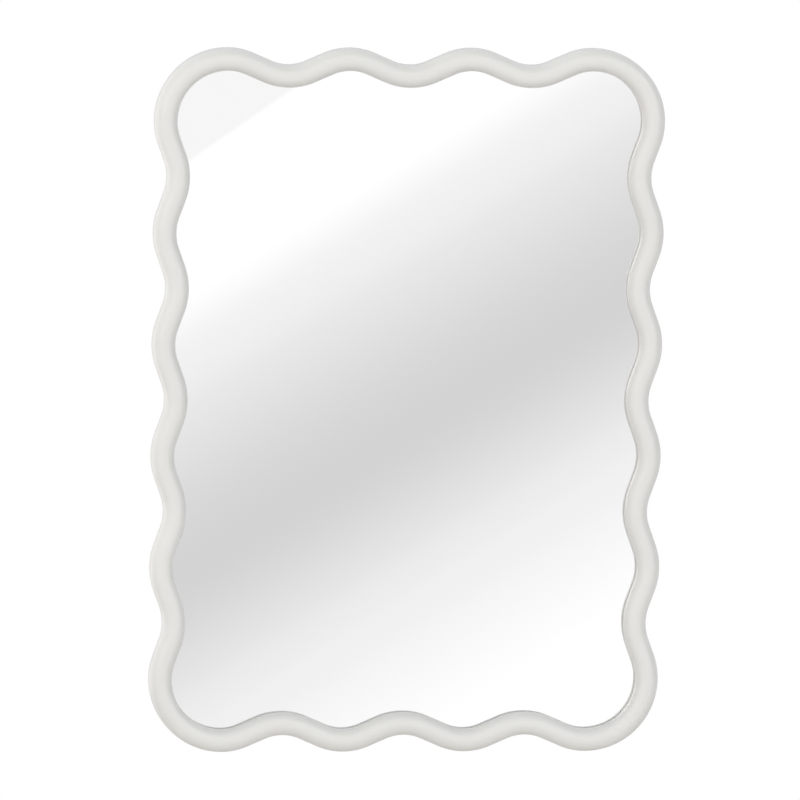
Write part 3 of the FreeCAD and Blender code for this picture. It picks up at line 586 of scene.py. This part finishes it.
# %% Path
def wavy_path(tree, size):
    """The middle line of the moulding, flat in the tree's XY plane."""
    crest_x = (size["Width"] - size["Moulding Width"]) / 2.0
    crest_y = (size["Height"] - size["Moulding Width"]) / 2.0
    lobe_x = crest_x - size["Corner Radius"]
    lobe_y = crest_y - size["Corner Radius"]
    box = add(tree, "GeometryNodeCurvePrimitiveQuadrilateral",
              {"Width": crest_x * 2.0, "Height": crest_y * 2.0})
    lobes = add(tree, "GeometryNodeFilletCurve",
                {"Curve": box.outputs["Curve"], "Radius": size["Corner Radius"],
                 "Count": size["Lobe Points"]}, mode="POLY")
    even = add(tree, "GeometryNodeResampleCurve",
               {"Curve": lobes.outputs["Curve"], "Count": size["Path Points"]})
    x, y = split(tree, add(tree, "GeometryNodeInputPosition").outputs["Position"])[:2]
    on_rail = abs(x).math("LESS_THAN", lobe_x)
    on_stile = abs(y).math("LESS_THAN", lobe_y)
    rail_in = wave_depth(abs(x), lobe_x / size["Rail Half Waves"], size["Rail Rise"], size["Bend Share"])
    stile_in = wave_depth(abs(y), lobe_y / size["Stile Half Waves"], size["Stile Rise"], size["Bend Share"])
    shift = vector(tree, stile_in * on_stile * x.math("SIGN") * -1.0,
                   rail_in * on_rail * y.math("SIGN") * -1.0, 0.0)
    waved = add(tree, "GeometryNodeSetPosition", {"Geometry": even.outputs["Curve"], "Offset": shift})
    level = add(tree, "GeometryNodeSetCurveNormal", {"Curve": waved.outputs["Geometry"]}, mode="Z_UP")
    return level.outputs["Curve"]


print("points on the path:", frame_sizes["Path Points"])

# %% [markdown]
# ### The section
#
# A circle of six points is the quickest closed curve with six corners: each point is put at its corner, and
# each corner gets its own radius. The two front corners meet in a round nose. Behind them come the lip, the
# sharp inside corner of the rebate and the eased back edges.


# %% Section
def moulding_section(tree, size):
    """The section of the moulding, from its middle line outwards and from the wall forwards."""
    half = size["Moulding Width"] / 2.0
    back = size["Wall Gap"]
    front = back + size["Moulding Depth"]
    shelf = back + size["Rebate Depth"]
    step = size["Rebate Width"] - half
    inner = half * -1.0
    corners = ((half, back), (half, front), (inner, front), (inner, shelf), (step, shelf), (step, back))
    ease = size["Lip Ease"]
    nose, edge = size["Nose Points"], size["Edge Points"]
    outline = add(tree, "GeometryNodeCurvePrimitiveCircle", {"Resolution": len(corners)})
    places = table(tree, "VECTOR", [vector(tree, out, depth * -1.0, 0.0) for out, depth in corners])
    shaped = add(tree, "GeometryNodeSetPosition",
                 {"Geometry": outline.outputs["Curve"], "Position": places})
    radii = table(tree, "FLOAT", [size["Back Edge Radius"], half, half, ease, 0.0, ease])
    counts = table(tree, "INT", [edge, nose, nose, edge, 1, edge])
    rounded = add(tree, "GeometryNodeFilletCurve",
                  {"Curve": shaped.outputs["Geometry"], "Radius": radii, "Count": counts,
                   "Limit Radius": True}, mode="POLY")
    return rounded.outputs["Curve"]


print("points on the nose:", 2 * frame_sizes["Nose Points"])

# %% [markdown]
# ### The sweep
#
# Curve to Mesh carries the section along the path, with no seam. Where two arcs of the section meet, two
# points fall together, so they are merged, and the faces are flipped to point outwards. The frame lies flat
# until here, so it is turned upright at the end.

# %% Tree of the frame
same_point = 0.000002
frame_crease = math.radians(40)


def frame_tree():
    tree, entry, size = new_tree("wavy_frame", frame_sizes)
    swept = add(tree, "GeometryNodeCurveToMesh", {"Curve": wavy_path(tree, size),
                                                  "Profile Curve": moulding_section(tree, size)})
    merged = add(tree, "GeometryNodeMergeByDistance",
                 {"Geometry": swept.outputs["Mesh"], "Distance": same_point})
    outwards = add(tree, "GeometryNodeFlipFaces", {"Mesh": merged.outputs["Geometry"]})
    upright = add(tree, "GeometryNodeTransform", {"Geometry": outwards.outputs["Mesh"],
                                                  "Rotation": (math.radians(90), 0.0, 0.0)})
    close_tree(tree, entry, smooth_up_to(tree, upright.outputs["Geometry"], frame_crease))
    return tree


frame_recipe = frame_tree()
print("frame tree nodes:", len(frame_recipe.nodes))

# %% [markdown]
# ### Growing it
#
# The tree makes its own curves, so it runs on an empty mesh. The skin then stands for all four members.

# %% Grow the frame
empty_start = bpy.data.meshes.new("empty_start")
skin = grow("lacquered_frame", frame_recipe, empty_start, {**frame_sizes, "Material": lacquer})
stand_for(skin, "frame_top_rail", "frame_bottom_rail", "frame_right_stile", "frame_left_stile")
skin_low = [round(min(v.co[i] for v in skin.data.vertices), 5) for i in range(3)]
skin_high = [round(max(v.co[i] for v in skin.data.vertices), 5) for i in range(3)]
print("frame from", skin_low, "to", skin_high)

# %% [markdown]
# ## Screws
#
# Ten screws carry the turn buttons and four hold the hangers, all alike: a pan head with a cross recess, a
# shank and a point. A screw could be modelled by hand and copied, but it is a turned part, so its tree
# strings points along the axis and gives each one a radius.

# %% Turned pin
screw_sizes = {
    "Head Radius": 0.003, "Head Height": 0.002, "Shank Radius": 0.0015, "Length": 0.014,
    "Tip Length": 0.003, "Recess Length": 0.0032, "Recess Width": 0.0008, "Recess Depth": 0.0013, "Seed": 7,
}
tip_share = 0.08
neck_share = -0.02
# Up the head: a share of its height and a share of its radius.
head_shares = ((0.0, 0.98), (0.12, 1.0), (0.35, 1.0), (0.62, 0.95), (0.82, 0.86), (0.95, 0.74), (1.0, 0.6))
pin_sides = 28


def turned_pin(tree, size):
    """The screw without its recess: points along the axis, each with a radius."""
    head, height, shank = size["Head Radius"], size["Head Height"], size["Shank Radius"]
    point_z = size["Length"] * -1.0
    stations = [(point_z, shank * tip_share), (point_z + size["Tip Length"], shank),
                (height * neck_share, shank)]
    stations += [(height * up, head * out) for up, out in head_shares]
    line = add(tree, "GeometryNodeCurvePrimitiveLine")
    string = add(tree, "GeometryNodeResampleCurve",
                 {"Curve": line.outputs["Curve"], "Count": len(stations)})
    places = table(tree, "VECTOR", [vector(tree, 0.0, 0.0, z) for z, radius in stations])
    strung = add(tree, "GeometryNodeSetPosition",
                 {"Geometry": string.outputs["Curve"], "Position": places})
    ring = add(tree, "GeometryNodeCurvePrimitiveCircle", {"Resolution": pin_sides, "Radius": 1.0})
    pin = add(tree, "GeometryNodeCurveToMesh",
              {"Curve": strung.outputs["Geometry"], "Profile Curve": ring.outputs["Curve"],
               "Scale": table(tree, "FLOAT", [radius for z, radius in stations]), "Fill Caps": True})
    return pin.outputs["Mesh"]


print("rings on a screw head:", len(head_shares))

# %% [markdown]
# ### Cross recess
#
# A driver's tip is a tapered cross, and the recess is its print. It could be drawn face by face, but two
# tapered bars that cut the head, one across the other, make it with sharp edges.

# %% Cross recess
recess_taper = 2.2


def recess_bar(tree, size, turn):
    """A tapered bar that cuts one arm of the cross recess."""
    block = add(tree, "GeometryNodeMeshCube",
                {"Size": vector(tree, size["Recess Length"], size["Recess Width"],
                                size["Recess Depth"] * 2.0)})
    x, y, z = split(tree, add(tree, "GeometryNodeInputPosition").outputs["Position"])
    narrow = (z / size["Recess Depth"] + recess_taper) / (1.0 + recess_taper)
    tapered = add(tree, "GeometryNodeSetPosition",
                  {"Geometry": block.outputs["Mesh"], "Position": vector(tree, x * narrow, y * narrow, z)})
    placed = add(tree, "GeometryNodeTransform",
                 {"Geometry": tapered.outputs["Geometry"], "Rotation": (0.0, 0.0, turn),
                  "Translation": vector(tree, 0.0, 0.0, size["Head Height"])})
    return placed.outputs["Geometry"]


print("recess narrows to", round((recess_taper - 1.0) / (recess_taper + 1.0), 3), "of its width")

# %% [markdown]
# ### Many screws from one
#
# The same screw is put at every place, each one turned by its own angle, as screws end up where the driver
# leaves them. The angles are random with a fixed seed, so every run gives the same ones.

# %% Tree of the screws
screw_crease = math.radians(35)
largest_float = 3
float_result = 1


def screw_tree():
    tree, entry, size = new_tree("driven_screws", screw_sizes)
    cut = add(tree, "GeometryNodeMeshBoolean", operation="DIFFERENCE", solver="EXACT")
    plug(tree, turned_pin(tree, size), cut.inputs["Mesh 1"])
    for turn in (0.0, math.radians(90)):
        tree.links.new(recess_bar(tree, size, turn), cut.inputs["Mesh 2"])
    towards_wall = add(tree, "GeometryNodeTransform",
                       {"Geometry": smooth_up_to(tree, cut.outputs["Mesh"], screw_crease),
                        "Rotation": (math.radians(-90), 0.0, 0.0)})
    left_at = add(tree, "FunctionNodeRandomValue", {largest_float: math.pi, "Seed": size["Seed"]},
                  data_type="FLOAT")
    driven = add(tree, "FunctionNodeAxisAngleToRotation",
                 {"Axis": (0.0, 1.0, 0.0), "Angle": left_at.outputs[float_result]})
    rows = add(tree, "GeometryNodeInstanceOnPoints",
               {"Points": entry.outputs["Start"], "Instance": towards_wall.outputs["Geometry"],
                "Rotation": driven.outputs["Rotation"]})
    close_tree(tree, entry, rows.outputs["Instances"])
    return tree


screws = screw_tree()
print("screw tree nodes:", len(screws.nodes))

# %% [markdown]
# ### Driving them
#
# A turn button swivels on its screw, so those screws stand on the swivel axes. The hanger screws stand in
# the corners of the box that their solids fill. The places become the points of a start mesh.


# %% Drive the screws
def drive_screws(piece_name, node, places, seed):
    """Put a screw at each place, with its head on the seat that the CAD node gives."""
    start = bpy.data.meshes.new(piece_name + "_places")
    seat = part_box(node)[1].y - screw_sizes["Head Height"]
    start.from_pydata([(x, seat, z) for x, z in places], [], [])
    piece = grow(piece_name, screws, start, {**screw_sizes, "Seed": seed, "Material": zinc})
    stand_for(piece, node)


joints = {joint["name"]: joint for joint in frame["joints"]}
button_names = [name for name in frame["nodes"]
                if name.startswith("turn_button_") and name != "turn_button_screws"]
button_places = [joints[name + "_swivel"]["pos_m"] for name in button_names]
drive_screws("turn_button_screw_set", "turn_button_screws", [(x, z) for x, y, z in button_places], seed=7)
low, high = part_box("hanger_screws")
head_radius = screw_sizes["Head Radius"]
hanger_places = [(x, z) for x in (low.x + head_radius, high.x - head_radius)
                 for z in (low.z + head_radius, high.z - head_radius)]
drive_screws("hanger_screw_set", "hanger_screws", hanger_places, seed=11)

# %% [markdown]
# ## Stamped hardware
#
# Turn buttons and straps are stamped from sheet steel, and stamping leaves a small round on every edge. The
# CAD solids have the right shape with knife edges, so each gets a copy with its loose triangles merged, its
# flat faces cleaned and its sharp edges beveled. The eased edge is what catches the light on real hardware.
# The rubber bumpers are moulded, with a larger round.

# %% Ease the edges
ease_steps = 3
flat_turn = math.radians(0.5)
sharp_turn = math.radians(50)
eased_crease = math.radians(35)


def eased_copy(node, ease):
    """A copy of a CAD node with rounded edges, in the node's finish, that stands for it."""
    shape = bmesh.new()
    shape.from_mesh(frame["nodes"][node].data)
    bmesh.ops.remove_doubles(shape, verts=shape.verts, dist=same_point)
    bmesh.ops.dissolve_limit(shape, angle_limit=flat_turn, verts=shape.verts, edges=shape.edges)
    sharp = [edge for edge in shape.edges
             if len(edge.link_faces) == 2 and edge.calc_face_angle() > sharp_turn]
    bmesh.ops.bevel(shape, geom=sharp, offset=ease, segments=ease_steps, profile=0.5, affect="EDGES")
    for face in shape.faces:
        face.smooth = True
    mesh = bpy.data.meshes.new(node + "_eased")
    shape.to_mesh(mesh)
    shape.free()
    mesh.set_sharp_from_angle(angle=eased_crease)
    mesh.materials.append(finish_of_slot[slot_of_node[node]])
    piece = bpy.data.objects.new(node + "_eased", mesh)
    bpy.context.scene.collection.objects.link(piece)
    stand_for(piece, node)


stamped_ease = 0.0003
moulded_ease = 0.0012
for node in sorted(frame["nodes"]):
    if node in button_names or node.startswith("hanger_strap"):
        eased_copy(node, stamped_ease)
    elif node.startswith("wall_bumper"):
        eased_copy(node, moulded_ease)

# %% [markdown]
# ## Pieces that stay as they are
#
# The pane, the foam, the board, the dowels and the wire rings have the right shape already, so they only
# change finish.

# %% Finishes on the CAD pieces
for node in ("mirror_glass", "foam_sheet", "backing_board", "mitre_dowels",
             "hanger_ring_right", "hanger_ring_left"):
    frame["nodes"][node].material_slots[0].material = finish_of_slot[slot_of_node[node]]
    print(node, "->", frame["nodes"][node].material_slots[0].material.name)

# %% [markdown]
# ## Camera
#
# The photo was taken from far away with a long lens, a little from the left and from above. The camera
# stands in that direction and turns by a small roll, and its lens makes one metre at the mirror as many
# pixels as in the photo. The origin isn't quite in the middle of the picture, so the camera steps aside by
# that much instead of shifting its lens.

# %% Camera
view_azimuth = math.radians(-6.98)
view_elevation = math.radians(5.66)
view_roll = math.radians(0.67)
view_distance = 20.0
picture_pixels = 800
pixels_per_metre = 840.0
origin_pixel_x = 404.8
origin_pixel_y = 398.65

towards_camera = Vector((math.sin(view_azimuth) * math.cos(view_elevation),
                         -math.cos(view_azimuth) * math.cos(view_elevation), math.sin(view_elevation)))
camera_data = bpy.data.cameras.new("camera")
camera_data.sensor_width = 36.0
camera_data.lens = camera_data.sensor_width * view_distance * pixels_per_metre / picture_pixels
camera_data.clip_end = 200.0
camera = bpy.data.objects.new("camera", camera_data)
bpy.context.scene.collection.objects.link(camera)
aim = (-towards_camera).to_track_quat("-Z", "Y").to_matrix() @ Matrix.Rotation(view_roll, 3, "Z")
step_right = (picture_pixels / 2 - origin_pixel_x) / pixels_per_metre
step_up = (origin_pixel_y - picture_pixels / 2) / pixels_per_metre
camera.rotation_mode = "QUATERNION"
camera.rotation_quaternion = aim.to_quaternion()
camera.location = towards_camera * view_distance + aim.col[0] * step_right + aim.col[1] * step_up
bpy.context.scene.camera = camera
print("camera at", tuple(round(v, 3) for v in camera.location), "lens", round(camera_data.lens))

# %% [markdown]
# ## Studio
#
# The mirror hangs over a pale floor in a bright studio. The floor is a disc that fades out towards its rim,
# so that no edge of it shows.

# %% Floor
floor_level = -0.75
floor_middle_y = -1.2
floor_radius = 3.2
floor_fade_share = 0.5
floor_rim_degrees = 4
floor_shade = (0.80, 0.765, 0.73)
floor_pale = (0.83, 0.80, 0.77)


def pale_floor():
    material, tree, shader, place = new_finish("pale_floor", Roughness=0.6)
    clouded = mix_colour(tree, noise(tree, place, scale=1.5), floor_shade, floor_pale)
    plug(tree, clouded, shader.inputs["Base Color"])
    x, y = split(tree, place)[:2]
    forward = y - floor_middle_y
    from_middle = (x * x + forward * forward).math("SQRT")
    faded = spread(from_middle, floor_radius * floor_fade_share, floor_radius, 1.0, 0.0)
    plug(tree, faded, shader.inputs["Alpha"])
    return material


def stand_up(name, vertices, faces, material):
    """A stage mesh, which isn't part of the object."""
    mesh = bpy.data.meshes.new(name)
    mesh.from_pydata(vertices, [], faces)
    mesh.materials.append(material)
    thing = bpy.data.objects.new(name, mesh)
    bpy.context.scene.collection.objects.link(thing)
    return thing


floor_rim = [(floor_radius * math.cos(turn), floor_middle_y + floor_radius * math.sin(turn), floor_level)
             for turn in (math.radians(step) for step in range(0, 360, floor_rim_degrees))]
stand_up("floor", floor_rim, [list(range(len(floor_rim)))], pale_floor())

# %% [markdown]
# ### Graded card
#
# A mirror looks like what stands in front of it. The soft grey diagonal in the pane is the reflection of a
# graded card. The card glows rather than being lit, so its tones are painted light, and the pale corner is
# a step of painted shade in its glow, set where a folded corner would fall. Two more soft bands further out
# give the pane something to show when it is seen from the sides. The tones lie along a line that runs down
# across the card, and the zero of that line is the point that the middle of the pane shows to the camera.

# %% Card sizes and tones
card_distance = 2.0
card_half_width = 4.0
card_fade_from = 2.0
card_top = 2.4
bounce = card_distance + pane_front
card_x = towards_camera.x / towards_camera.y * bounce
card_z = towards_camera.z / towards_camera.y * bounce
band_slope = math.radians(32.2)
fold_slope = math.radians(34.9)
band_start = -1.3
band_end = 1.3
# Along the line: a distance from its zero and the tone there.
band_stops = ((-1.25, 1.0), (-0.95, 0.72), (-0.65, 1.0), (-0.272, 1.0), (-0.227, 0.906), (-0.148, 0.808),
              (0.035, 0.646), (0.166, 0.785), (0.218, 0.856), (0.27, 0.898), (0.40, 1.0), (0.60, 1.0),
              (0.90, 0.72), (1.2, 1.0))
fold_place = -0.4255
fold_softness = 0.006
folded_corner_shade = 0.915
card_strength = 1.05
dim_share = 0.2
first_bounce = 1.5
open_from = -0.1
open_to = -0.4
apron_reach = 1.5
apron_lift = 0.002
print("card faces the pane at", round(card_x, 3), round(card_z, 3))

# %% [markdown]
# ### Card finish
#
# The card glows in its own tones. At its ends it fades, and at its foot it runs out onto the floor and
# fades there, so no hard line shows in the pane.
#
# Light that reaches the frame by way of the pane meets the card too, and finds it dim: that darkens the
# frame's inner rim a little, as a real card would by standing in the way of the lights. On its left the
# card is open to such light, so the left softbox still glints along the inner flank of the right stile.


# %% Card finish
def mix_shaders(tree, share, first, second):
    """A shader between two shaders."""
    node = add(tree, "ShaderNodeMixShader", {0: share, 1: first, 2: second})
    return node.outputs["Shader"]


def graded_card():
    material = bpy.data.materials.new("graded_card")
    material.use_nodes = True
    tree = material.node_tree
    tree.nodes.clear()
    x, y, z = split(tree, add(tree, "ShaderNodeTexCoord").outputs["Object"])

    def down_across(slope):
        return (x - card_x) * math.sin(slope) - (z - card_z) * math.cos(slope)

    across = spread(down_across(band_slope), band_start, band_end, 0.0, 1.0)
    ramp = add(tree, "ShaderNodeValToRGB", {"Fac": across})
    ramp.color_ramp.interpolation = "CARDINAL"
    while len(ramp.color_ramp.elements) < len(band_stops):
        ramp.color_ramp.elements.new(1.0)
    for element, (place, tone) in zip(ramp.color_ramp.elements, band_stops):
        element.position = (place - band_start) / (band_end - band_start)
        element.color = (tone, tone, tone, 1.0)
    # Painted shade: the glow steps down on the folded corner's side of the fold line.
    fold = spread(down_across(fold_slope), fold_place, fold_place + fold_softness, folded_corner_shade, 1.0)
    bounces = add(tree, "ShaderNodeLightPath").outputs
    seen = spread(Field(tree, bounces["Diffuse Depth"]), 0.0, 1.0, 1.0, dim_share)
    glow = add(tree, "ShaderNodeEmission",
               {"Color": ramp.outputs["Color"], "Strength": fold * seen * card_strength})
    clear = add(tree, "ShaderNodeBsdfTransparent")
    run_out = spread(y, -card_distance, -card_distance + apron_reach, 0.0, 1.0)
    end_out = spread(abs(x), card_fade_from, card_half_width, 0.0, 1.0)
    later = Field(tree, bounces["Ray Depth"]).math("GREATER_THAN", first_bounce)
    opened = spread(x, open_to, open_from, 1.0, 0.0) * later
    hidden = run_out.math("MAXIMUM", end_out).math("MAXIMUM", opened)
    faded = mix_shaders(tree, hidden, glow.outputs["Emission"], clear.outputs["BSDF"])
    add(tree, "ShaderNodeOutputMaterial", {"Surface": faded})
    return material


card_finish = graded_card()
print("finish:", card_finish.name, "stops:", len(band_stops))

# %% [markdown]
# ### Standing the card up
#
# The card is a flat upright sheet with an apron at its foot. It is only there to be reflected, so neither
# the camera nor diffuse light sees it, and it casts no shadow.

# %% Stand the card up
foot = floor_level + apron_lift
card_rows = ((-card_distance, card_top), (-card_distance, foot), (-card_distance + apron_reach, foot))
card_corners = [(side * card_half_width, y, z) for y, z in card_rows for side in (-1, 1)]
card = stand_up("graded_card", card_corners, [(0, 2, 3, 1), (2, 4, 5, 3)], card_finish)
card.visible_camera = False
card.visible_diffuse = False
card.visible_shadow = False
card.visible_transmission = False
print("card from", card_corners[0], "to", card_corners[-1])

# %% [markdown]
# ## Light
#
# The room fills the shadows. The fill is the world: a sum of soft lobes, each with a direction, a tightness
# and a tint. The wall behind is pale, the left side is bright, the floor is warm and the ceiling is dim.
# That is what gives the round moulding its even face and its darker rims. The camera sees plain white paper
# behind the mirror, and the paper lights nothing.

# %% Fill
# For each lobe: the direction it comes from, its tightness and its tint.
fill_lobes = (
    ((0.0, 1.0, 0.0), 0.25, (0.685, 0.68, 0.68)),
    ((-1.0, 0.0, 0.0), 1.0, (0.755, 0.745, 0.725)),
    ((1.0, 0.0, 0.0), 1.0, (0.115, 0.125, 0.14)),
    ((0.0, 0.0, 1.0), 1.0, (0.165, 0.175, 0.185)),
    ((0.0, 0.0, -1.0), 1.0, (0.41, 0.345, 0.285)),
    ((0.0, -1.0, 0.0), 1.0, (0.29, 0.28, 0.26)),
    ((0.0, -1.0, 0.0), 4.0, (0.39, 0.38, 0.36)),
)


def studio_world():
    world = bpy.data.worlds.new("studio")
    world.use_nodes = True
    tree = world.node_tree
    tree.nodes.clear()
    x, y, z = split(tree, add(tree, "ShaderNodeTexCoord").outputs["Generated"])
    channels = [0.0, 0.0, 0.0]
    for (to_x, to_y, to_z), tightness, tint in fill_lobes:
        facing = (x * to_x + y * to_y + z * to_z).math("MAXIMUM", 0.0).math("POWER", tightness)
        channels = [channel + facing * amount for channel, amount in zip(channels, tint)]
    fill = add(tree, "ShaderNodeCombineColor", dict(zip(("Red", "Green", "Blue"), channels)))
    lit = add(tree, "ShaderNodeBackground", {"Color": fill.outputs["Color"]})
    paper = add(tree, "ShaderNodeBackground", {"Color": (1.0, 1.0, 1.0, 1.0)})
    seen = add(tree, "ShaderNodeLightPath").outputs["Is Camera Ray"]
    either = mix_shaders(tree, seen, lit.outputs["Background"], paper.outputs["Background"])
    add(tree, "ShaderNodeOutputWorld", {"Surface": either})
    return world


bpy.context.scene.world = studio_world()
bpy.context.scene.view_settings.view_transform = "Standard"
print("fill lobes:", len(fill_lobes))

# %% [markdown]
# ### Softboxes
#
# Two large softboxes stand in front of the mirror, high on the left and on the right. A lamp close by would
# light one side more than the other, so each is a wide sun: it lights the frame evenly, with soft shadows.

# %% Softboxes
softbox_spread = math.radians(44)
# For each softbox: its place, its strength and its tint.
softboxes = {
    "softbox_left": ((-5.0, -7.0, 3.0), 0.497, (1.0, 0.995, 0.985)),
    "softbox_right": ((5.0, -7.0, 3.0), 0.785, (0.97, 0.995, 1.015)),
}


def stand_softbox(name, place, energy, tint):
    """A wide, far light that faces the middle of the mirror and lights it evenly."""
    light = bpy.data.lights.new(name, "SUN")
    light.angle = softbox_spread
    light.energy = energy
    light.color = tint
    box = bpy.data.objects.new(name, light)
    box.location = place
    box.rotation_mode = "QUATERNION"
    box.rotation_quaternion = (-Vector(place)).to_track_quat("-Z", "Y")
    bpy.context.scene.collection.objects.link(box)


for name, (place, energy, tint) in softboxes.items():
    stand_softbox(name, place, energy, tint)
print("softboxes:", len(softboxes))
